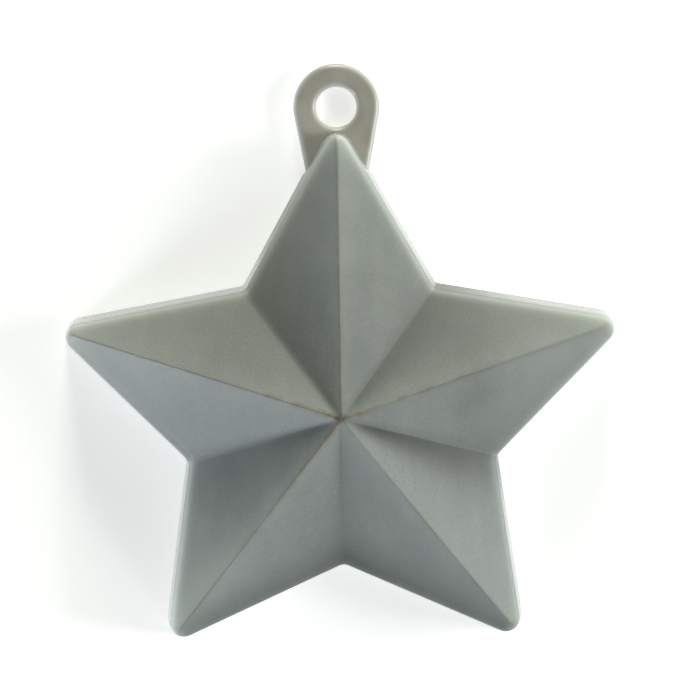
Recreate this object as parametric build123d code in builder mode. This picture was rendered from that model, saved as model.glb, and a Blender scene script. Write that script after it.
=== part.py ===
from build123d import *
import math
import os

# A balloon weight that lies on its back: z = 0 is the back face, +Z leaves the star's front
# and +Y points to the ribbon tab. A hollow moulded star holds a cast ballast block, and a
# back cover, pressed in on five pegs, closes it and carries the tab.

# Star outline on the back face, from the centre line to the sharp corners
point_count = 5
tip_reach_x = 45.0  # the outer corners lie on an ellipse that is a little wider than high
tip_reach_y = 42.5
top_reach = 43.1  # the top point, in front of the tab, reaches a little farther
notch_reach_x = 23.8  # the inner corners lie on a smaller one
notch_reach_y = 22.5
tip_round = 2.7
notch_round = 1.0
least_round = 0.3  # for corners inside the wall, where less of the outer rounding is left

# Sides, which lean in by the draft up to a flat rim, and front facets, which rise from there to one apex
side_draft = 5.8  # degrees
rim_height = 7.8
apex_height = 24.0
front_edge_bevel = 0.25  # breaks the edge between sides and facets, measured inwards at the rim
bevel_rise_share = 2.3  # of the facets' rise

# Shell walls
side_wall = 2.0
front_wall = 2.4  # measured straight down
rim_wall = 1.0  # what is left of the side wall around the cover

# Back cover and its ribbon tab
cover_thickness = 2.5
hole_reach = 43.8  # from the centre line to the ribbon hole
hole_radius = 2.9
tab_radius = 6.25
neck_reach = 30.0  # the tab narrows towards a neck of this place and radius
neck_radius = 3.65
tab_edge_round = 0.9

# Pegs on the cover and the bosses in the shell that take them, one pair in each point
peg_reach_share = 0.5  # of the way from the centre line to the outer corner
peg_radius = 1.5
peg_length = 5.0
peg_lead = 0.4  # chamfer that guides the peg in
boss_wall = 1.7
socket_spare_depth = 0.5

# Fits
cover_clearance = 0.15
peg_clearance = 0.05
ballast_clearance = 0.3

half_step = 180 / point_count
quarter_turn = 90
first_tip = quarter_turn
facet_rise = apex_height - rim_height
rim_inset = rim_height * math.tan(math.radians(side_draft))
boss_radius = peg_radius + peg_clearance + boss_wall


def ring(reach_x, reach_y, first_angle):
    """Points on an ellipse, one for each point of the star, counted from an angle in degrees."""
    angles = [math.radians(first_angle + 2 * half_step * turn) for turn in range(point_count)]
    return [(reach_x * math.cos(angle), reach_y * math.sin(angle)) for angle in angles]


def star_corners(inset):
    """The sharp corners of the back face's star after each side has moved in by an inset."""
    tips = [(0, top_reach)] + ring(tip_reach_x, tip_reach_y, first_tip)[1:]
    notches = ring(notch_reach_x, notch_reach_y, first_tip + half_step)
    corners = [Vector(*corner) for pair in zip(tips, notches) for corner in pair]
    ends = zip(corners, corners[1:] + corners[:1])
    inward = [(end - start).normalized().rotate(Axis.Z, quarter_turn) for start, end in ends]
    return [
        corner + (before + after) * (inset / (1 + before.dot(after)))
        for corner, before, after in zip(corners, inward[-1:] + inward, inward)
    ]


def star_outline(inset):
    """The back face's outline, drawn in by an inset, with rounded corners."""
    with BuildSketch() as outline:
        Polygon(*star_corners(inset), align=None)
        tips = outline.vertices().sort_by_distance((0, 0))[-point_count:]
        fillet(tips, max(tip_round - inset, least_round))
        notches = outline.vertices().sort_by_distance((0, 0))[:point_count]
        fillet(notches, notch_round + inset)
    return outline.sketch


def tab_outline(growth):
    """The ribbon tab's outline: two circles and the straight sides that touch both."""
    with BuildSketch() as outline:
        with Locations((0, hole_reach)):
            Circle(tab_radius + growth)
        with Locations((0, neck_reach)):
            Circle(neck_radius + growth)
        make_hull()
    return outline.sketch


def star_pyramid(inset, rise, drop):
    """A pyramid whose section at the rim is the star drawn in by an inset, then lowered by a drop."""
    base_share = (rim_height + rise) / rise
    with BuildPart() as pyramid:
        with BuildSketch(Plane.XY.offset(-drop)) as base:
            Polygon(*[corner * base_share for corner in star_corners(inset)], align=None)
        loft([base.face(), Vertex(0, 0, rim_height + rise - drop)], ruled=True)
    return pyramid.part


def star_block(inset, drop):
    """The whole star as one solid, drawn in by an inset at the sides and by a drop at the front."""
    with BuildPart() as block:
        with BuildSketch():
            add(star_outline(inset))
        extrude(amount=apex_height, taper=side_draft)
        add(star_pyramid(rim_inset, facet_rise, drop), mode=Mode.INTERSECT)
    return block.part


peg_places = ring(tip_reach_x * peg_reach_share, tip_reach_y * peg_reach_share, first_tip)


def filling(gap):
    """What the closed shell holds between its walls and round its bosses, less a gap."""
    with BuildPart() as inside:
        add(star_block(side_wall + gap, front_wall + gap))
        split(bisect_by=Plane.XY.offset(cover_thickness), keep=Keep.TOP)
        with BuildSketch(Plane.XY.offset(cover_thickness)):
            with Locations(*peg_places):
                Circle(boss_radius + gap)
        extrude(amount=apex_height, mode=Mode.SUBTRACT)
    return inside.part


os.makedirs("parts", exist_ok=True)

# Front shell: the hollow star, with a rebate for the cover, a notch for the tab and five peg sockets
with BuildPart() as front_shell:
    add(star_block(0, 0))
    add(star_pyramid(rim_inset + front_edge_bevel, facet_rise * bevel_rise_share, 0), mode=Mode.INTERSECT)
    add(filling(0), mode=Mode.SUBTRACT)
    with BuildSketch():
        add(star_outline(rim_wall))
    extrude(amount=cover_thickness, taper=side_draft, mode=Mode.SUBTRACT)
    with BuildSketch():
        add(tab_outline(cover_clearance))
    extrude(amount=cover_thickness, mode=Mode.SUBTRACT)
    with BuildSketch(Plane.XY.offset(cover_thickness)):
        with Locations(*peg_places):
            Circle(peg_radius + peg_clearance)
    extrude(amount=peg_length + socket_spare_depth, mode=Mode.SUBTRACT)
front_shell.part.label = "front_shell"
export_step(front_shell.part, "parts/front_shell.step")

# Back cover: the tab with its rounded edges, the plate that fits the rebate, and the pegs
with BuildPart() as back_cover:
    with BuildSketch():
        add(tab_outline(0))
        with Locations((0, hole_reach)):
            Circle(hole_radius, mode=Mode.SUBTRACT)
    extrude(amount=cover_thickness)
    fillet(back_cover.edges().filter_by(Plane.XY), tab_edge_round)
    with BuildSketch():
        add(star_outline(rim_wall + cover_clearance))
    extrude(amount=cover_thickness, taper=side_draft)
    with BuildSketch(Plane.XY.offset(cover_thickness)):
        with Locations(*peg_places):
            Circle(peg_radius)
    extrude(amount=peg_length)
    chamfer(back_cover.edges().group_by(Axis.Z)[-1], peg_lead)
back_cover.part.label = "back_cover"
export_step(back_cover.part, "parts/back_cover.step")

# Ballast block: cast to the shell's inside, resting on the cover
with BuildPart() as ballast_block:
    add(filling(ballast_clearance))
ballast_block.part.label = "ballast_block"
export_step(ballast_block.part, "parts/ballast_block.step")
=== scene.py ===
# %% [markdown]
# # A star balloon weight
# A balloon weight keeps helium balloons from floating off. This one is a faceted star, moulded in grey
# plastic around a cast block, with an eyelet tab behind its top point for the ribbon.
# The CAD model is loaded first and stays as it is. Each new piece takes the place of a CAD solid, in the
# same frame and size, and adds what the CAD leaves plain: soft edges, surface finish and light.

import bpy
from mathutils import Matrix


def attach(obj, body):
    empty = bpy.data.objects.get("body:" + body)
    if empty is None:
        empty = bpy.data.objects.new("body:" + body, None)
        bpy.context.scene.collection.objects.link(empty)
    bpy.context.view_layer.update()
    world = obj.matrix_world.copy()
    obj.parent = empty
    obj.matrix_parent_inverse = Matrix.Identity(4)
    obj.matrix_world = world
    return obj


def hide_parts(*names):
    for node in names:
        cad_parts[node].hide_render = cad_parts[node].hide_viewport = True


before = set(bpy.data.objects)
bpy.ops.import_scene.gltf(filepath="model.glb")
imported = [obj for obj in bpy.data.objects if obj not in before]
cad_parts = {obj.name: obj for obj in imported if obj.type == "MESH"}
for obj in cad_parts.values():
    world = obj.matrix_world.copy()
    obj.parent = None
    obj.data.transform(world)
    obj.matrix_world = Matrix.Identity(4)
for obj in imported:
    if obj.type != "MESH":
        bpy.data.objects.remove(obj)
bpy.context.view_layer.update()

# %% [markdown]
# ## Surfaces as grids
# Every new piece is a grid of points, worked out as whole numpy arrays. A row is a closed loop round the
# piece, and the rows follow each other over its skin. That suits a moulding, whose sections all go round one
# outline. Two kinds of skin are enough: one that ends in a point at both ends, and one that closes on itself
# like a ring.

# %% From a grid to a mesh
import bpy
import numpy as np
from mathutils import Matrix

MM = 0.001  # the shapes are written in millimetres, and Blender measures in metres
SHARP_OVER = np.radians(40)  # an edge that turns by more stays sharp


def skin(points, poles=None):
    """Points, quads and triangles of a grid: a quad joins two neighbours of one row to the two in the next.
    With two poles, a fan of triangles closes each end; without them the last row joins the first."""
    rows, columns = points.shape[:2]
    row, column = np.indices((rows if poles is None else rows - 1, columns))
    below, beside = (row + 1) % rows * columns, (column + 1) % columns
    row = row * columns
    quads = np.stack([row + column, below + column, below + beside, row + beside], axis=-1).reshape(-1, 4)
    vertices, fans = points.reshape(-1, 3), np.empty((0, 3), int)
    if poles is not None:
        around = np.arange(columns)
        beside, last, pole = (around + 1) % columns, (rows - 1) * columns, np.full(columns, len(vertices))
        first_fan = np.column_stack([pole, around, beside])
        last_fan = np.column_stack([pole + 1, last + beside, last + around])
        vertices, fans = np.vstack([vertices, poles]), np.vstack([first_fan, last_fan])
    return vertices, quads, fans


def add_piece(name, node, skins):
    """Joins skins into one mesh object at the origin that stands for a CAD node and rides on the one body."""
    vertices, faces = np.empty((0, 3)), []
    for more, quads, fans in skins:
        faces += (quads + len(vertices)).tolist() + (fans + len(vertices)).tolist()
        vertices = np.vstack([vertices, more])
    mesh = bpy.data.meshes.new(name)
    mesh.from_pydata((vertices * MM).tolist(), [], faces)
    mesh.shade_smooth()
    mesh.set_sharp_from_angle(angle=SHARP_OVER)
    piece = bpy.data.objects.new(name, mesh)
    bpy.context.scene.collection.objects.link(piece)
    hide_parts(node)
    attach(piece, "root")
    print(name, "has", len(vertices), "points and", len(faces), "faces")
    return piece


print("a ring of 3 by 4 points has", len(skin(np.zeros((3, 4, 3)))[1]), "quads")

# %% [markdown]
# ## The star's outline
# Seen from the front the star has five outer and five inner corners. The outer ones lie on an ellipse,
# because the real star is a little wider than it is high. All corners are rounded, as a mould's are, since a
# cutter is round. Moving each side in by some distance gives the outline of the rim, of the wall's inside and
# of the cover.

# %% Corners and rounded outline
TIP_REACH, NOTCH_REACH = np.array([45.0, 42.5]), np.array([23.8, 22.5])  # to the sharp corners, in X and Y
TOP_REACH = 43.1  # the top point reaches a little farther
TIP_ROUND, NOTCH_ROUND, LEAST_ROUND = 2.7, 1.0, 0.3
ARC_POINTS, RUN_POINTS = 33, 24  # columns on each rounded corner and on each straight side
CORNERS = np.arange(10)  # even numbers are tips, odd ones are notches, from the top point leftwards
IS_TIP = CORNERS % 2 == 0


def star_corners(inset):
    """Sharp corners on two ellipses; each moves along the sum of its two sides' inward normals."""
    turn = np.radians(90 + 36 * CORNERS)
    reach = np.where(IS_TIP[:, None], TIP_REACH, NOTCH_REACH)
    corners = reach * np.column_stack([np.cos(turn), np.sin(turn)])
    corners[0, 1] = TOP_REACH
    side = np.roll(corners, -1, axis=0) - corners
    inward = np.column_stack([-side[:, 1], side[:, 0]]) / np.linalg.norm(side, axis=1, keepdims=True)
    before = np.roll(inward, 1, axis=0)
    return corners + inset * (before + inward) / (1 + (before * inward).sum(axis=1, keepdims=True))


def star_outline(inset):
    """Points and outward normals: at each corner an arc about a centre on its bisector, then a straight line.
    A point of the arc is a mix of its two end radii, by the sines of the angles still to go and gone."""
    corner = star_corners(inset)
    ahead = np.roll(corner, -1, axis=0) - corner
    ahead /= np.linalg.norm(ahead, axis=1, keepdims=True)
    back = -np.roll(ahead, 1, axis=0)
    half = np.arccos((ahead * back).sum(axis=1))[:, None] / 2
    radius = np.where(IS_TIP, max(TIP_ROUND - inset, LEAST_ROUND), NOTCH_ROUND + inset)[:, None]
    bisector = (ahead + back) / np.linalg.norm(ahead + back, axis=1, keepdims=True)
    centre = corner + bisector * radius / np.sin(half)
    first = corner + back * radius / np.tan(half) - centre
    last = corner + ahead * radius / np.tan(half) - centre
    sweep, share = (np.pi - 2 * half)[:, None], np.linspace(0, 1, ARC_POINTS)[None, :, None]
    arc = np.sin((1 - share) * sweep) * first[:, None] + np.sin(share * sweep) * last[:, None]
    arc /= np.sin(sweep)
    arc_normal = arc / radius[:, None] * np.where(IS_TIP, 1, -1)[:, None, None]
    start, end = centre + last, np.roll(centre + first, -1, axis=0)
    share = np.linspace(0, 1, RUN_POINTS + 2)[1:-1]
    share = (share * share * (3 - 2 * share))[None, :, None]  # closer together near the corners
    run = start[:, None] + (end - start)[:, None] * share
    run_normal = np.broadcast_to(np.column_stack([ahead[:, 1], -ahead[:, 0]])[:, None], run.shape)
    points = np.concatenate([centre[:, None] + arc, run], axis=1).reshape(-1, 2)
    return points, np.concatenate([arc_normal, run_normal], axis=1).reshape(-1, 2)


back_outline, back_normal = star_outline(0)
late = np.concatenate([np.arange(ARC_POINTS) * 2 >= ARC_POINTS, np.ones(RUN_POINTS, bool)])
SIDE = ((CORNERS[:, None] - 1 + late[None, :]) % 10).reshape(-1)  # the side that each column belongs to
TIP_OF_SIDE = (SIDE + SIDE % 2) % 10
NOTCH_OF_SIDE = (SIDE + 1 - SIDE % 2) % 10
print("star outline of", len(back_outline), "points,", np.ptp(back_outline, axis=0).round(2), "mm")

# %% [markdown]
# ## The facets
# Ten flat facets rise from a level rim to one apex. Each is a plane through the apex and one side of the rim.
# Two facets meet in a ridge, where the lower plane counts, or in a valley, where the higher one does.
# A plain minimum or maximum gives a knife edge. Real moulded edges are soft, so a blend rounds the meeting:
# where two heights differ by less than a small amount, a parabola bridges them. The ridges are crisp at the
# apex and get rounder on the way out, each by its own amount.

# %% Height of the front
RIM_HEIGHT, APEX_HEIGHT = 7.8, 24.0
DRAFT = np.tan(np.radians(5.8))  # how far the sides lean in for each millimetre up
VALLEY_BLEND, APEX_BLEND = 0.4, 0.5  # height differences in millimetres
RIDGE_BLEND = 0.12  # at the apex
RIDGE_GROWTH = np.array([0.6, 0.1, 0.3, 0.3, 0.7])  # added out to the tip, from the top point leftwards
APEX_CAP = APEX_HEIGHT - 0.15  # the level that cuts off the sharp apex


def soft_max(a, b, blend):
    """The higher of two heights, plus a bridge where they differ by less than the blend: the square of what
    the difference lacks to the blend, over four blends."""
    return np.maximum(a, b) + np.maximum(blend - np.abs(a - b), 0) ** 2 / (4 * blend)


rim = star_corners(RIM_HEIGHT * DRAFT)
along = np.roll(rim, -1, axis=0) - rim
outward = np.column_stack([along[:, 1], -along[:, 0]]) / np.linalg.norm(along, axis=1, keepdims=True)
slope = (APEX_HEIGHT - RIM_HEIGHT) / (rim * outward).sum(axis=1)


def front_height(xy):
    """The facet's own plane or the one across the valley, the higher; then that or the one across the ridge,
    the lower; then that or the apex cap, the lower."""
    step = np.where(SIDE % 2 == 0, 1, -1)
    own, valley, ridge = [
        APEX_HEIGHT - slope[index] * (xy * outward[index]).sum(axis=-1)
        for index in (SIDE, (SIDE + step) % 10, (SIDE - step) % 10)
    ]
    growth = RIDGE_GROWTH[TIP_OF_SIDE // 2]
    ridge_blend = RIDGE_BLEND + growth * (np.linalg.norm(xy, axis=-1) / TIP_REACH[0]) ** 2
    height = -soft_max(-ridge, -soft_max(own, valley, VALLEY_BLEND), ridge_blend)
    return -soft_max(-height, -APEX_CAP, APEX_BLEND)


half_way = front_height(back_outline / 2)
print("front height half way out:", half_way.min().round(2), "to", half_way.max().round(2), "mm")

# %% [markdown]
# ## The moulded star
# The front is made of rays from the apex outwards, which follow every ridge and valley without a step. At the
# rounded edge the profile is a parabola that leaves the side and the facet in their own directions. The same
# function gives the inside of the shell, drawn in by the walls.

# %% Front of the star
FRONT_EDGE, INNER_EDGE = 1.3, 0.2  # how far the roundings reach from the sharp edge, outside and inside
RAY_ROWS, EDGE_ROWS, SIDE_ROWS = 56, 10, 8
RAY_CROWDING = 1.15  # over 1, rows lie closer together near the apex
EDGE_ROUNDS = 25  # times that the edge's height is put in again


def with_height(xy, z):
    """Puts a height beside plan coordinates."""
    return np.concatenate([xy, np.broadcast_to(z, xy.shape[:-1])[..., None]], axis=-1)


def front_rows(inset, drop, reach):
    """Rows from the apex to the side: rays from the centre, then a parabola about the sharp edge.
    The edge's height is where the leaning side meets the facets, found by putting the height in again."""
    outline, normal = star_outline(inset)
    edge = np.full(len(outline), RIM_HEIGHT)
    for _ in range(EDGE_ROUNDS):
        edge = front_height(outline - normal * DRAFT * edge[:, None]) - drop
    corner = with_height(outline - normal * DRAFT * edge[:, None], edge)
    below = with_height(outline - normal * DRAFT * (edge - reach)[:, None], edge - reach)
    inner = corner[:, :2] - normal * reach
    inner = with_height(inner, front_height(inner) - drop)
    share = (np.arange(1, RAY_ROWS + 1) / RAY_ROWS)[:, None, None] ** RAY_CROWDING
    rays = inner[None, :, :2] * share
    rays = with_height(rays, front_height(rays) - drop)
    share = np.linspace(0, 1, EDGE_ROWS + 1)[1:, None, None]
    edge_rows = (1 - share) ** 2 * inner + 2 * share * (1 - share) * corner + share**2 * below
    return np.concatenate([rays, edge_rows])


outer = front_rows(0, 0, FRONT_EDGE)
print("front of", len(outer), "rows")

# %% [markdown]
# The shell is one closed skin: over the front, down the leaning side, across the narrow rim at the back, up
# the step that the cover sits in, and back along the inside to a second apex. Under the top point the rim
# stops short, because the tab of the cover comes out there.

# %% Skin of the star
SIDE_WALL, FRONT_WALL, RIM_WALL, COVER_THICKNESS, COVER_CLEARANCE = 2.0, 2.4, 1.0, 2.5, 0.15
HOLE_REACH, HOLE_RADIUS, TAB_RADIUS, NECK_REACH, NECK_RADIUS = 43.8, 2.9, 6.25, 30.0, 3.65
BACK_EDGE = 0.25  # rounding between the side and the back
LEDGE_HEIGHT = COVER_THICKNESS + 0.05  # a hair above the cover, so that no two faces lie in one plane


def under_tab(xy, growth):
    """True within the tab's outline: nearer to the line from neck to hole than a radius growing along it."""
    along = np.clip((xy[:, 1] - NECK_REACH) / (HOLE_REACH - NECK_REACH), 0, 1)
    centre = np.column_stack([np.zeros(len(xy)), NECK_REACH + along * (HOLE_REACH - NECK_REACH)])
    return np.linalg.norm(xy - centre, axis=1) < NECK_RADIUS + along * (TAB_RADIUS - NECK_RADIUS) + growth


foot = np.where(under_tab(back_outline, COVER_CLEARANCE), COVER_THICKNESS, 0.0)
share = np.linspace(0, 1, SIDE_ROWS + 1)[1:, None]
side_height = outer[-1, :, 2] * (1 - share) + (foot + BACK_EDGE) * share
sides = with_height(back_outline - back_normal * (DRAFT * side_height)[..., None], side_height)
turn = np.radians([30, 60, 90])[:, None, None]  # a quarter arc in three rows
rounded = back_outline - back_normal * (DRAFT * foot[:, None] + BACK_EDGE * (1 - np.cos(turn)))
rounded = with_height(rounded, foot + BACK_EDGE * (1 - np.sin(turn[..., 0])))
step_outline, step_normal = star_outline(RIM_WALL)
ledge_outline, ledge_normal = star_outline(SIDE_WALL)
star_rows = np.concatenate([
    outer,
    sides,
    rounded,
    with_height(step_outline - step_normal * DRAFT * foot[:, None], foot)[None],
    with_height(step_outline - step_normal * DRAFT * LEDGE_HEIGHT, LEDGE_HEIGHT)[None],
    with_height(ledge_outline - ledge_normal * DRAFT * LEDGE_HEIGHT, LEDGE_HEIGHT)[None],
    front_rows(SIDE_WALL, FRONT_WALL, INNER_EDGE)[::-1],
])
apex_level = APEX_CAP - APEX_BLEND / 4
star_skin = skin(star_rows, [[0, 0, apex_level], [0, 0, apex_level - FRONT_WALL]])
print("star skin of", len(star_rows), "rows")

# %% [markdown]
# ## Sockets and pegs
# The cover is pressed on: five pegs go into five sockets, one in each point. Both are turned shapes, so each
# is a profile of radius and height carried round an axis. They can't be seen from outside, but they show in a
# section.

# %% Turned shapes
PEG_RADIUS, PEG_LENGTH, PEG_LEAD, PEG_CLEARANCE, BOSS_WALL, SPARE_DEPTH = 1.5, 5.0, 0.4, 0.05, 1.7, 0.5
BOSS_TOP, PEG_SINK = 11.5, 0.5  # how high the bosses reach, and how deep in the cover the pegs start
PEG_REACH_SHARE = 0.5  # of the way to the outer corner
TURNED_POINTS = 32
peg_turn = np.radians(90 + 72 * np.arange(5))
peg_places = PEG_REACH_SHARE * TIP_REACH * np.column_stack([np.cos(peg_turn), np.sin(peg_turn)])


def turned(place, profile, top, bottom):
    """Every point of the profile goes round the axis: radius times cosine and sine, with its own height."""
    turn = np.linspace(0, 2 * np.pi, TURNED_POINTS, endpoint=False)
    radius, height = np.array(profile).T
    ring = radius[:, None, None] * np.stack([np.cos(turn), np.sin(turn)], axis=-1) + place
    return skin(with_height(ring, height[:, None]), [[*place, top], [*place, bottom]])


peg_top, peg_foot = COVER_THICKNESS + PEG_LENGTH, COVER_THICKNESS - PEG_SINK
socket_radius, socket_top = PEG_RADIUS + PEG_CLEARANCE, peg_top + SPARE_DEPTH
boss_radius = socket_radius + BOSS_WALL
boss_profile = [
    [boss_radius, BOSS_TOP],
    [boss_radius, LEDGE_HEIGHT],
    [socket_radius, LEDGE_HEIGHT],
    [socket_radius, socket_top],
]
peg_profile = [[PEG_RADIUS - PEG_LEAD, peg_top], [PEG_RADIUS, peg_top - PEG_LEAD], [PEG_RADIUS, peg_foot]]
bosses = [turned(place, boss_profile, BOSS_TOP, socket_top) for place in peg_places]
pegs = [turned(place, peg_profile, peg_top, peg_foot) for place in peg_places]
star = add_piece("moulded_star", "front_shell", [star_skin, *bosses])

# %% [markdown]
# ## Where the star is rubbed, where shade and highlights are painted on, and where it is polished
# A finish that follows the shape has to know where it is, so four numbers are stored with each point of the
# star. They come from distances as seen from the front: to the apex, to the nearest ridge and valley, to the
# outer edge and to the tip. A bell curve of a distance makes a soft band, and a list gives its strength on
# each facet. Facets and points are counted from the top point leftwards.

# %% Distances on the star
plan = star_rows[..., :2]
corner_direction = star_corners(0) / np.linalg.norm(star_corners(0), axis=1, keepdims=True)
EASE_COLUMNS = 14


def off_line(direction):
    """Distance in plan from the line through the centre: the cross product with its direction."""
    return np.abs(plan[..., 0] * direction[:, 1] - plan[..., 1] * direction[:, 0])


def bell(distance, width):
    """A soft band: the exponential of minus the square of the distance, counted in widths."""
    return np.exp(-((distance / width) ** 2))


def by_facet(*values):
    """One value for each facet, handed to all its columns."""
    return np.array(values)[SIDE]


def by_point(*values):
    """One value for each point of the star, handed to the columns of its two facets."""
    return np.array(values)[TIP_OF_SIDE // 2]


def eased(values):
    """The mean of neighbouring columns, so that a value doesn't jump from one facet to the next."""
    return np.mean([np.roll(values, shift) for shift in range(-EASE_COLUMNS, EASE_COLUMNS + 1)], axis=0)


away = np.linalg.norm(plan, axis=-1)
ridge = off_line(corner_direction[TIP_OF_SIDE])
valley = off_line(corner_direction[NOTCH_OF_SIDE])
to_tip = np.linalg.norm(plan - rim[TIP_OF_SIDE], axis=-1)
to_side = ((rim[SIDE] - plan) * outward[SIDE]).sum(axis=-1)
to_end = ((back_outline - plan) * back_normal).sum(axis=-1) - RIM_HEIGHT * DRAFT
to_edge = np.abs(np.minimum(to_side, to_end)) + np.maximum(RIM_HEIGHT - star_rows[..., 2], 0)
print("farthest from the apex:", away.max().round(1), "mm, from an edge:", to_edge.max().round(1), "mm")

# %% [markdown]
# Thin brown lines run along the ridges, strongest near the apex, which has a small brown patch. That is
# "rubbed". Shade is painted into the valleys, where shadows and shade fall, more on one facet than on the
# other, and along the lower edges, and an even layer of painted shade lies on the left facet of the top
# point. That is the painted shade. Round the apex the valleys have none.

# %% Rubbed ridges and painted shade
LINE_WIDTH, LINE_REACH, LINE_LEAST = 0.45, 14, 0.04  # the reach is along the ridge; the least is left far out
PATCH_STRENGTH, PATCH_WIDTH = 0.5, 1.1
VALLEY_WIDTH, UNSHADED_APEX_WIDTH, EDGE_SHADE_WIDTH, FACET_SHADE_START = 0.3, 2.5, 3, 6
line_strength = by_point(0.5, 1.0, 0.8, 0.5, 1.0)
line_strength = line_strength * (LINE_LEAST + (1 - LINE_LEAST) * np.exp(-away / LINE_REACH))
rubbed = np.maximum(line_strength * bell(ridge, LINE_WIDTH), PATCH_STRENGTH * bell(away, PATCH_WIDTH))
# painted shade beside the valleys: shadows and shade that fall there, one-sided, widening outwards
valley_shade = by_facet(0, 0.15, 0.35, 0.75, 0.3, 0.3, 1.05, 0.4, 0.62, 0.35)
valley_spread = by_facet(0.06, 0.06, 0.04, 0.35, 0.12, 0.25, 0.2, 0.08, 0.28, 0.08)  # wider on the way out
valley_reach = by_facet(25, 25, 25, 13, 25, 40, 24, 25, 40, 25)  # how far out it goes
painted_shade = valley_shade * bell(valley, VALLEY_WIDTH + valley_spread * away) * bell(away, valley_reach)
painted_shade *= 1 - bell(away, UNSHADED_APEX_WIDTH)
# painted shade along the lower edges of the lower facets
painted_shade += eased(by_facet(0, 0, 0.05, 0, 0.85, 1.0, 0, 0.3, 0, 0)) * np.exp(-to_edge / EDGE_SHADE_WIDTH)
# painted shade as an even layer over the left facet of the top point
painted_shade += by_facet(0.3, 0, 0, 0, 0, 0, 0, 0, 0, 0) * (1 - bell(valley, FACET_SHADE_START))
painted_shade = np.clip(painted_shade, 0, 1)
print("rubbed", rubbed.mean().round(3), "and grimy", painted_shade.mean().round(3), "on average")

# %% [markdown]
# Light is painted in as paler colour: on the edges, the points, the crests beside the ridges and some facets
# near the apex, and farther in from the edge on one facet at the lower left. That is the painted highlight.
# And the sides of a mould are polished so that the part slips out: "polished" is one on the sides and fades
# out over the rounded edge.

# %% Painted highlights and polished sides
EDGE_LINE, EDGE_BAND = 0.45, 4  # widths of the painted bright line on the edge and of a painted pale band beside it
OUTER_STRENGTH, OUTER_START, OUTER_LENGTH = 0.1, 20, 12  # painted light makes each point paler from the start outwards
TIP_STRENGTH, TIP_WIDTH, APEX_WIDTH = 0.3, 4.5, 14
CREST_START, CREST_LENGTH = 0.25, 20  # strength at the apex, and the length over which one more is added
CREST_WIDTH, CREST_SPREAD = 0.3, 0.1  # width at the apex, and what is added for each millimetre outwards
tip_highlight = by_point(1.0, 1.0, 0.7, 0.2, 1.0)
crest_highlight = by_facet(0.09, 0.07, 0.04, 0.16, 0.05, 0.1, 0, 0.03, 0.05, 0.05)
crest_highlight = crest_highlight * np.clip(CREST_START + away / CREST_LENGTH, 0, 1)
# painted highlights: pale colour where light catches the edges, points, crests and some facets near the apex
painted_highlight = eased(by_facet(0.55, 0.9, 0.1, 0.8, 0, 0, 0.5, 0, 0.95, 0.65)) * np.exp(-to_edge / EDGE_LINE)
painted_highlight += by_facet(0, 0, 0, 0.13, 0, 0, 0, 0, 0, 0) * np.exp(-to_edge / EDGE_BAND)
painted_highlight += tip_highlight * OUTER_STRENGTH * np.clip((away - OUTER_START) / OUTER_LENGTH, 0, 1)
painted_highlight += tip_highlight * TIP_STRENGTH * bell(to_tip, TIP_WIDTH)
painted_highlight += crest_highlight * bell(ridge, CREST_WIDTH + CREST_SPREAD * away)
painted_highlight += by_facet(0, 0.13, 0.04, 0, 0.06, 0.15, 0, 0.02, 0, 0.06) * bell(away, APEX_WIDTH)
painted_highlight = np.clip(painted_highlight, 0, 1)
edge_row = np.arange(len(star_rows))[:, None] - (len(outer) - EDGE_ROWS)
polished = np.broadcast_to(np.clip(edge_row / EDGE_ROWS, 0, 1), away.shape)


def store_values(piece, name, values, first=0):
    """Keeps one number per point, for a run of points from the first one on; the other points get zero."""
    whole = np.zeros(len(piece.data.vertices))
    whole[first : first + values.size] = values.reshape(-1)
    piece.data.attributes.new(name, "FLOAT", "POINT").data.foreach_set("value", whole)
    print(piece.name, name, "reaches", values.max().round(2))


for name, values in {"rubbed": rubbed, "painted_shade": painted_shade, "painted_highlight": painted_highlight, "polished": polished}.items():
    store_values(star, name, values)

# %% [markdown]
# ## The back cover and its ribbon tab
# The cover is a flat star that sits in the back of the shell. It is moulded in one with the tab: a flat
# eyelet, widest round the hole and narrower towards the star, with well-rounded edges that don't cut a
# ribbon. The tab is a ring: its section goes up the wall of the hole, over the front, round the outer edge
# and back. Its outline is two arcs and the straight lines that touch both, which a normal's direction gives
# point by point.

# %% The ribbon tab
TAB_EDGE = 0.9
HEAD_POINTS, NECK_POINTS, LINE_POINTS, BEND_POINTS, FLAT_ROWS = 97, 33, 22, 9, 6
lean = np.arccos((TAB_RADIUS - NECK_RADIUS) / (HOLE_REACH - NECK_REACH))  # of the straight sides' normals
line = np.linspace(0, 1, LINE_POINTS + 2)[1:-1]
head_turn = np.linspace(lean, 2 * np.pi - lean, HEAD_POINTS)
neck_turn = np.linspace(-lean, lean, NECK_POINTS)
turn = np.concatenate([head_turn, np.full(LINE_POINTS, -lean), neck_turn, np.full(LINE_POINTS, lean)])
to_neck = np.concatenate([np.zeros(HEAD_POINTS), line, np.ones(NECK_POINTS), 1 - line])[:, None]
tab_normal = np.column_stack([np.sin(turn), -np.cos(turn)])
tab_centre = np.column_stack([np.zeros(len(turn)), HOLE_REACH + to_neck[:, 0] * (NECK_REACH - HOLE_REACH)])
tab_outline = tab_centre + tab_normal * (TAB_RADIUS + to_neck * (NECK_RADIUS - TAB_RADIUS))
hole_centre = np.array([0, HOLE_REACH])
hole_direction = tab_outline - hole_centre
hole_direction /= np.linalg.norm(hole_direction, axis=1, keepdims=True)


def two_bends(start, middle, end):
    """Angles of two quarter arcs, one after the other, as radians on the first axis."""
    angles = [np.linspace(start, middle, BEND_POINTS), np.linspace(middle, end, BEND_POINTS)]
    return np.radians(np.concatenate(angles))[:, None, None]


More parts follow.
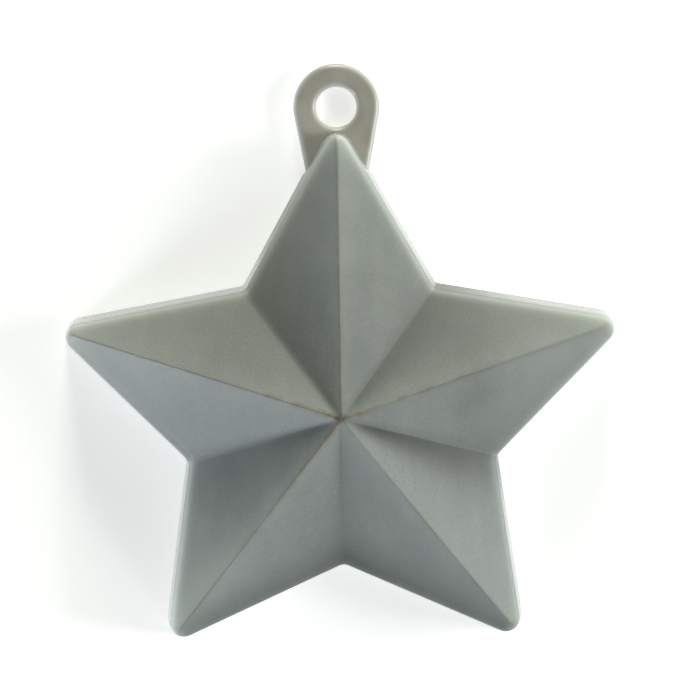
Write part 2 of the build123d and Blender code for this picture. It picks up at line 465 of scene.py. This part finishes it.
def tab_rows():
    """Section rows: a quarter arc below and above the hole's wall, the front, two at the outer edge, the
    back. A point of an arc is its centre plus the edge's radius times cosine and sine."""
    level = np.repeat([TAB_EDGE, COVER_THICKNESS - TAB_EDGE], BEND_POINTS)[:, None]
    bend = two_bends(270, 180, 90)
    hole = hole_centre + hole_direction * (HOLE_RADIUS + TAB_EDGE * (1 + np.cos(bend)))
    hole = with_height(hole, level + TAB_EDGE * np.sin(bend[..., 0]))
    bend = two_bends(90, 0, -90)
    edge = tab_outline - tab_normal * TAB_EDGE * (1 - np.cos(bend))
    edge = with_height(edge, level[::-1] + TAB_EDGE * np.sin(bend[..., 0]))
    share = np.linspace(0, 1, FLAT_ROWS + 2)[1:-1, None, None]
    front, back = hole[-1] + (edge[0] - hole[-1]) * share, edge[-1] + (hole[0] - edge[-1]) * share
    return np.concatenate([hole, front, edge, back])


tab_skin = skin(tab_rows())
print("tab outline of", len(tab_outline), "points,", np.ptp(tab_outline, axis=0).round(2), "mm")

# %% [markdown]
# The cover's plate is made as the star was, as rays from the centre over the front, its edge and the back.
# Plastic shrinks more where it is thick, so a shallow sink shows on the back behind each peg, and in the
# middle there is the small round mark where the plastic came into the mould. Both are drawn into the surface.
# A highlight is painted on the tab's rounded edges as paler colour, so the number for it is stored here too,
# from how far a point lies from the nearer of the tab's two flats.

# %% The cover's plate
PLATE_LIFT = 0.02  # keeps the plate's back from lying in the same plane as the tab's
PLATE_CHAMFER = np.array([0.0, 0.15])  # inwards at the two rows of the plate's edge
TOP_ROWS, BACK_ROWS, MARK_ROWS, MARK_SHARE = 40, 60, 40, 0.1  # rows lie close together over the middle mark
SINK_DEPTH, SINK_WIDTH = 0.08, 1.5
DIP_DEPTH, DIP_RADIUS, DIP_EDGE = 0.35, 2.2, 0.08
STUB_HEIGHT, STUB_RADIUS, STUB_EDGE = 0.25, 0.8, 0.06
# strength of the painted highlight on the tab's rounded edges
TAB_HIGHLIGHT = 0.65


def back_marks(xy):
    """A bell-shaped dip at each peg, and in the middle a round dip with a short stub standing in it, whose
    edges are S-curves: one over one plus the exponential of the distance past the edge."""
    peg_distance = np.linalg.norm(xy[..., None, :] - peg_places, axis=-1)
    away = np.linalg.norm(xy, axis=-1)
    dip = DIP_DEPTH / (1 + np.exp((away - DIP_RADIUS) / DIP_EDGE))
    stub = STUB_HEIGHT / (1 + np.exp((away - STUB_RADIUS) / STUB_EDGE))
    return SINK_DEPTH * bell(peg_distance, SINK_WIDTH).sum(axis=-1) + dip - stub


plate_outline, plate_normal = star_outline(RIM_WALL + COVER_CLEARANCE)
share = (np.arange(1, TOP_ROWS + 1) / TOP_ROWS)[:, None, None]
plate_top = with_height((plate_outline - plate_normal * DRAFT * COVER_THICKNESS) * share, COVER_THICKNESS)
plate_edge = plate_outline - plate_normal * PLATE_CHAMFER[:, None, None]
plate_edge = with_height(plate_edge, (PLATE_LIFT + PLATE_CHAMFER[::-1])[:, None])
share = [np.linspace(1, MARK_SHARE, BACK_ROWS)[1:], np.linspace(MARK_SHARE, 0, MARK_ROWS)[1:-1]]
plate_back = (plate_outline - plate_normal * PLATE_CHAMFER[1]) * np.concatenate(share)[:, None, None]
plate_back = with_height(plate_back, PLATE_LIFT + back_marks(plate_back))
plate_poles = [[0, 0, COVER_THICKNESS], [0, 0, PLATE_LIFT + back_marks(np.zeros(2))]]
plate_skin = skin(np.concatenate([plate_top, plate_edge, plate_back]), plate_poles)
cover = add_piece("back_cover_with_tab", "back_cover", [plate_skin, tab_skin, *pegs])
tab_height = tab_skin[0][:, 2]
from_flat = np.minimum(tab_height, COVER_THICKNESS - tab_height)
store_values(cover, "painted_highlight", TAB_HIGHLIGHT * np.sqrt(np.clip(from_flat / TAB_EDGE, 0, 1)), first=len(plate_skin[0]))

# %% [markdown]
# ## Finishes
# A material here is a small graph of nodes. One function adds a node, sets it and links it, so each line of a
# finish reads as one step. Patterns are placed by Object coordinates, which are metres in the CAD frame, so a
# grain of 0.3 mm needs a noise scale of one over 0.0003.

# %% Helpers for the finishes
def linear(hex_colour):
    """An sRGB hex value as linear light, by the sRGB curve: a power of 2.4 above a short straight start."""
    value = np.array([int(hex_colour[i : i + 2], 16) for i in (1, 3, 5)]) / 255
    return [*np.where(value <= 0.04045, value / 12.92, ((value + 0.055) / 1.055) ** 2.4).tolist(), 1.0]


def per_metre(size_mm):
    """Noise scale for a pattern of a real size."""
    return 1 / (size_mm * MM)


def add_node(material, kind, inputs=None, **settings):
    """Adds one node. Settings are its properties; inputs are values or other nodes' outputs, by socket."""
    made = material.node_tree.nodes.new(kind)
    for name, value in settings.items():
        setattr(made, name, value)
    for socket, value in (inputs or {}).items():
        if isinstance(value, bpy.types.NodeSocket):
            material.node_tree.links.new(value, made.inputs[socket])
        else:
            made.inputs[socket].default_value = value
    return made


def new_material(name, **constants):
    """A material with one Principled shader, its constant values set on the shader's own sockets."""
    material = bpy.data.materials.new(name)
    material.use_nodes = True
    shader = material.node_tree.nodes["Principled BSDF"]
    for socket, value in constants.items():
        shader.inputs[socket.replace("_", " ")].default_value = value
    return material, shader.inputs


print("middle grey in linear light:", np.round(linear("#808080")[0], 3))

# %% [markdown]
# ## Satin moulded plastic
# The star is polypropylene, moulded in a mould with a finely blasted surface. To the eye it is a cool grey
# with a soft, slightly waxy sheen, a little cloudy where the melt flowed. Some light goes into the plastic
# and comes out beside, which softens the edges. Highlights are painted on as paler colour and shade as darker
# colour, and the rubbed lines along the ridges are brown and broken.

# %% Colour of the star plastic
plastic, surface = new_material("satin_polypropylene", IOR=1.49, Specular_IOR_Level=0.25,
                                Subsurface_Weight=0.3, Subsurface_Scale=1.0 * MM,
                                Subsurface_Radius=(1.0, 1.0, 1.0))
place = add_node(plastic, "ShaderNodeTexCoord").outputs["Object"]
cloud = add_node(plastic, "ShaderNodeTexNoise", {"Vector": place, "Scale": per_metre(14), "Detail": 4.0})
flow_place = add_node(plastic, "ShaderNodeMapping", {"Vector": place, "Scale": (1.0, 0.12, 0.5)})
flow = add_node(plastic, "ShaderNodeTexNoise",
                {"Vector": flow_place.outputs["Vector"], "Scale": per_metre(1.6), "Detail": 3.0})
speckle = add_node(plastic, "ShaderNodeTexNoise", {"Vector": place, "Scale": per_metre(0.32), "Detail": 2.0})
mottle = add_node(plastic, "ShaderNodeMath", {0: flow.outputs["Fac"], 1: 0.2, 2: cloud.outputs["Fac"]},
                  operation="MULTIPLY_ADD")
mottle = add_node(plastic, "ShaderNodeMath", {0: speckle.outputs["Fac"], 1: 0.5, 2: mottle.outputs[0]},
                  operation="MULTIPLY_ADD")
tone = add_node(plastic, "ShaderNodeMapRange",
                {"Value": mottle.outputs[0], "From Min": 0.63, "From Max": 1.07})
grey = add_node(plastic, "ShaderNodeMix",
                {0: tone.outputs["Result"], 6: linear("#6f7372"), 7: linear("#838785")}, data_type="RGBA")
# painted highlight: the stored number mixes in a pale colour where light catches the star
highlight_node = add_node(plastic, "ShaderNodeAttribute", attribute_name="painted_highlight")
highlighted = add_node(plastic, "ShaderNodeMix",
                 {0: highlight_node.outputs["Fac"], 6: grey.outputs[2], 7: linear("#dce0dc")}, data_type="RGBA")
# painted shade: the stored number mixes in a dark colour where shade falls
shade_node = add_node(plastic, "ShaderNodeAttribute", attribute_name="painted_shade")
shade_share = add_node(plastic, "ShaderNodeMath", {0: shade_node.outputs["Fac"], 1: 0.8}, operation="MULTIPLY")
shaded = add_node(plastic, "ShaderNodeMix",
                  {0: shade_share.outputs[0], 6: highlighted.outputs[2], 7: linear("#4c4e4b")}, data_type="RGBA")
rub = add_node(plastic, "ShaderNodeAttribute", attribute_name="rubbed")
dashes = add_node(plastic, "ShaderNodeTexNoise", {"Vector": place, "Scale": per_metre(3.5), "Detail": 3.0})
broken = add_node(plastic, "ShaderNodeMapRange", {"Value": dashes.outputs["Fac"], "From Min": 0.38,
                                                  "From Max": 0.57, "To Min": 0.15, "To Max": 1.0})
rub_share = add_node(plastic, "ShaderNodeMath", {0: rub.outputs["Fac"], 1: broken.outputs["Result"]},
                     operation="MULTIPLY")
colour = add_node(plastic, "ShaderNodeMix",
                  {0: rub_share.outputs[0], 6: shaded.outputs[2], 7: linear("#65543c")}, data_type="RGBA")
plastic.node_tree.links.new(colour.outputs[2], surface["Base Color"])
print("star colour of", len(plastic.node_tree.nodes), "nodes")

# %% [markdown]
# The sheen is satin on the blasted front, nearly glossy on the polished sides and dull where shade is
# painted.
# Two bumps shape it: slow waves, as shrinking plastic has, and the grain that the blasted mould leaves. The
# grain is drawn at 0.35 mm, because the real one is too fine to show in the picture.

# %% Sheen and grain of the star plastic
gloss = add_node(plastic, "ShaderNodeMapRange", {"Value": cloud.outputs["Fac"], "From Min": 0.3,
                                                 "From Max": 0.7, "To Min": 0.40, "To Max": 0.48})
polish = add_node(plastic, "ShaderNodeAttribute", attribute_name="polished")
sheen = add_node(plastic, "ShaderNodeMix", {0: polish.outputs["Fac"], 2: gloss.outputs["Result"], 3: 0.1})
dulled = add_node(plastic, "ShaderNodeMix", {0: shade_node.outputs["Fac"], 2: sheen.outputs[0], 3: 0.9})
plastic.node_tree.links.new(dulled.outputs[0], surface["Roughness"])
grain = add_node(plastic, "ShaderNodeTexNoise", {"Vector": place, "Scale": per_metre(0.35), "Detail": 2.0})
wave = add_node(plastic, "ShaderNodeTexNoise", {"Vector": place, "Scale": per_metre(9), "Detail": 1.0})
waved = add_node(plastic, "ShaderNodeBump",
                 {"Height": wave.outputs["Fac"], "Strength": 1.0, "Distance": 0.06 * MM})
depth = add_node(plastic, "ShaderNodeMapRange",
                 {"Value": polish.outputs["Fac"], "To Min": 0.7, "To Max": 0.05})
grained = add_node(plastic, "ShaderNodeBump",
                   {"Height": grain.outputs["Fac"], "Strength": depth.outputs["Result"],
                    "Distance": 0.03 * MM, "Normal": waved.outputs["Normal"]})
plastic.node_tree.links.new(grained.outputs["Normal"], surface["Normal"])
star.data.materials.append(plastic)
print("star finish of", len(plastic.node_tree.nodes), "nodes")

# %% [markdown]
# ## The cover's plastic
# The tab is a slightly warmer, paler grey than the star, because the cover was moulded from another batch. It
# has the same fine grain. Fingers and ribbons have left faint brownish clouds and scuffs that vary its sheen,
# and a highlight is painted on its rounded edges as paler colour.

# %% Cover plastic
warm_plastic, surface = new_material("satin_polypropylene_warm", IOR=1.49)
place = add_node(warm_plastic, "ShaderNodeTexCoord").outputs["Object"]
cloud = add_node(warm_plastic, "ShaderNodeTexNoise", {"Vector": place, "Scale": per_metre(6), "Detail": 4.0})
grey = add_node(warm_plastic, "ShaderNodeValToRGB", {"Fac": cloud.outputs["Fac"]})
grey.color_ramp.elements[0].position, grey.color_ramp.elements[0].color = 0.38, linear("#a69f94")
grey.color_ramp.elements[1].position, grey.color_ramp.elements[1].color = 0.6, linear("#b4b0a8")
# painted highlight on the tab's rounded edges: a pale colour mixed in by the stored number
highlight_node = add_node(warm_plastic, "ShaderNodeAttribute", attribute_name="painted_highlight")
highlighted = add_node(warm_plastic, "ShaderNodeMix",
                 {0: highlight_node.outputs["Fac"], 6: grey.outputs["Color"], 7: linear("#e2e4e4")}, data_type="RGBA")
warm_plastic.node_tree.links.new(highlighted.outputs[2], surface["Base Color"])
scuff = add_node(warm_plastic, "ShaderNodeTexNoise",
                 {"Vector": place, "Scale": per_metre(1.5), "Detail": 5.0})
gloss = add_node(warm_plastic, "ShaderNodeMapRange", {"Value": scuff.outputs["Fac"], "From Min": 0.35,
                                                      "From Max": 0.65, "To Min": 0.3, "To Max": 0.4})
warm_plastic.node_tree.links.new(gloss.outputs["Result"], surface["Roughness"])
grain = add_node(warm_plastic, "ShaderNodeTexNoise",
                 {"Vector": place, "Scale": per_metre(0.35), "Detail": 2.0})
grained = add_node(warm_plastic, "ShaderNodeBump",
                   {"Height": grain.outputs["Fac"], "Strength": 0.7, "Distance": 0.03 * MM})
warm_plastic.node_tree.links.new(grained.outputs["Normal"], surface["Normal"])
cover.data.materials.append(warm_plastic)
print("cover finish of", len(warm_plastic.node_tree.nodes), "nodes")

# %% [markdown]
# ## The cast block
# Inside, a block of cement mortar gives the weight. It keeps its CAD shape, because it fills the shell, and
# gets a finish of its own: matt, pale grey, with sand grains and small air holes.

# %% Mortar
mortar, surface = new_material("cast_mortar", Roughness=0.92, IOR=1.5)
place = add_node(mortar, "ShaderNodeTexCoord").outputs["Object"]
sand = add_node(mortar, "ShaderNodeTexVoronoi", {"Vector": place, "Scale": per_metre(0.9)})
stain = add_node(mortar, "ShaderNodeTexNoise", {"Vector": place, "Scale": per_metre(8), "Detail": 5.0})
tone = add_node(mortar, "ShaderNodeValToRGB", {"Fac": stain.outputs["Fac"]})
tone.color_ramp.elements[0].position, tone.color_ramp.elements[0].color = 0.3, linear("#8f8b82")
tone.color_ramp.elements[1].position, tone.color_ramp.elements[1].color = 0.7, linear("#b0aca2")
grit = add_node(mortar, "ShaderNodeMix",
                {0: sand.outputs["Distance"], 6: tone.outputs["Color"], 7: linear("#7c776c")},
                data_type="RGBA")
mortar.node_tree.links.new(grit.outputs[2], surface["Base Color"])
pits = add_node(mortar, "ShaderNodeBump",
                {"Height": sand.outputs["Distance"], "Strength": 0.6, "Distance": 0.15 * MM})
mortar.node_tree.links.new(pits.outputs["Normal"], surface["Normal"])
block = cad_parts["ballast_block"]
block.data.materials.clear()
block.data.materials.append(mortar)
print("mortar finish of", len(mortar.node_tree.nodes), "nodes")

# %% [markdown]
# ## Table, light and camera
# The weight lies on its back on a light table: white acrylic that glows a little from below, as used for
# pictures on white. Its glow brightens the sides and edges, and the lamps still leave a soft shadow on it.
# The surroundings are white where they are seen, directly or as a reflection, and give almost no light.

# %% Table and surroundings
TABLE_HALF = 3  # metres
TABLE_LEVEL = -0.02 * MM  # a hair lower than the weight's back, so that no two faces lie in one plane
table_mesh = bpy.data.meshes.new("table")
table_plan = np.array([[-1, -1], [1, -1], [1, 1], [-1, 1]]) * TABLE_HALF
table_mesh.from_pydata(with_height(table_plan, TABLE_LEVEL).tolist(), [], [[0, 1, 2, 3]])
table = bpy.data.objects.new("table", table_mesh)
bpy.context.scene.collection.objects.link(table)
acrylic, _ = new_material("white_acrylic", Base_Color=linear("#f4f4f4"), Roughness=0.9,
                          Emission_Color=linear("#ffffff"), Emission_Strength=0.6)
table_mesh.materials.append(acrylic)
world = bpy.data.worlds.new("studio")
bpy.context.scene.world = world
world.use_nodes = True
background = world.node_tree.nodes["Background"].inputs
background["Color"].default_value = linear("#ffffff")
path = add_node(world, "ShaderNodeLightPath").outputs
seen = add_node(world, "ShaderNodeMath", {0: path["Is Camera Ray"], 1: path["Is Glossy Ray"]},
                operation="MAXIMUM")
seen = add_node(world, "ShaderNodeMath", {0: seen.outputs[0], 1: path["Is Transmission Ray"]},
                operation="MAXIMUM")
level = add_node(world, "ShaderNodeMapRange", {"Value": seen.outputs[0], "To Min": 0.02, "To Max": 1.0})
world.node_tree.links.new(level.outputs["Result"], background["Strength"])
print("table and surroundings ready")

# %% [markdown]
# Four soft square lamps stand low round the weight, because low light shows facets best: a yellowish one
# towards the tab, a bluish one at the lower left, a weak one at the lower right and a broader one, higher up,
# on the right. None stands at the upper left, so the facets there stay dark; painted shade darkens the left
# facet of the top point further.

# %% Lamps
LAMP_DISTANCE = 1.6  # metres
LAMPS = {  # azimuth and height in degrees, power in watts, colour, width in metres
    "tab_lamp": (91, 16, 17.6, "#faffe9", 0.4),
    "lower_left_lamp": (217, 8, 20.8, "#f0fafd", 0.4),
    "right_lamp": (359, 20, 21.6, "#fbfff9", 0.6),
    "lower_right_lamp": (302, 8, 7.8, "#f8fffc", 0.4),
}


def add_lamp(name, azimuth, height, power, colour, width):
    """A square area lamp at a compass direction round the star and a height angle, facing the star."""
    lamp = bpy.data.lights.new(name, "AREA")
    lamp.size, lamp.energy, lamp.color = width, power, linear(colour)[:3]
    lit = bpy.data.objects.new(name, lamp)
    around, up = np.radians(azimuth), np.radians(height)
    toward = np.array([np.cos(up) * np.cos(around), np.cos(up) * np.sin(around), np.sin(up)])
    lit.location = (toward * LAMP_DISTANCE).tolist()
    lit.rotation_euler = (np.pi / 2 - up, 0, around + np.pi / 2)
    bpy.context.scene.collection.objects.link(lit)


for name, settings in LAMPS.items():
    add_lamp(name, *settings)
print(len(LAMPS), "lamps ready")

# %% [markdown]
# The camera looks down almost straight, from a little towards the tab, through a long lens, as product
# pictures are often taken. Three directions, backwards, sideways and up, make the matrix that turns it.

# %% Camera
STAND, TARGET = np.array([-0.4, 25.8, 439.2]) * MM, np.array([1.4, 8.6, 0.0]) * MM
ROLL = np.radians(0.94)
camera = bpy.data.cameras.new("camera")
camera.sensor_width, camera.lens = 36, 155.6  # millimetres
camera.clip_start, camera.clip_end = 0.01, 20  # metres
viewer = bpy.data.objects.new("camera", camera)
bpy.context.scene.collection.objects.link(viewer)
backward = (STAND - TARGET) / np.linalg.norm(STAND - TARGET)
upward = np.array([np.sin(ROLL), np.cos(ROLL), 0])  # this direction is up in the picture
sideways = np.cross(upward, backward)
sideways /= np.linalg.norm(sideways)
upward = np.cross(backward, sideways)
pose = np.eye(4)
pose[:3, :3] = np.column_stack([sideways, upward, backward])
pose[:3, 3] = STAND
viewer.matrix_world = Matrix(pose.tolist())
bpy.context.scene.camera = viewer
bpy.context.scene.view_settings.view_transform = "Standard"
print("camera", np.linalg.norm(STAND - TARGET).round(3), "m away")
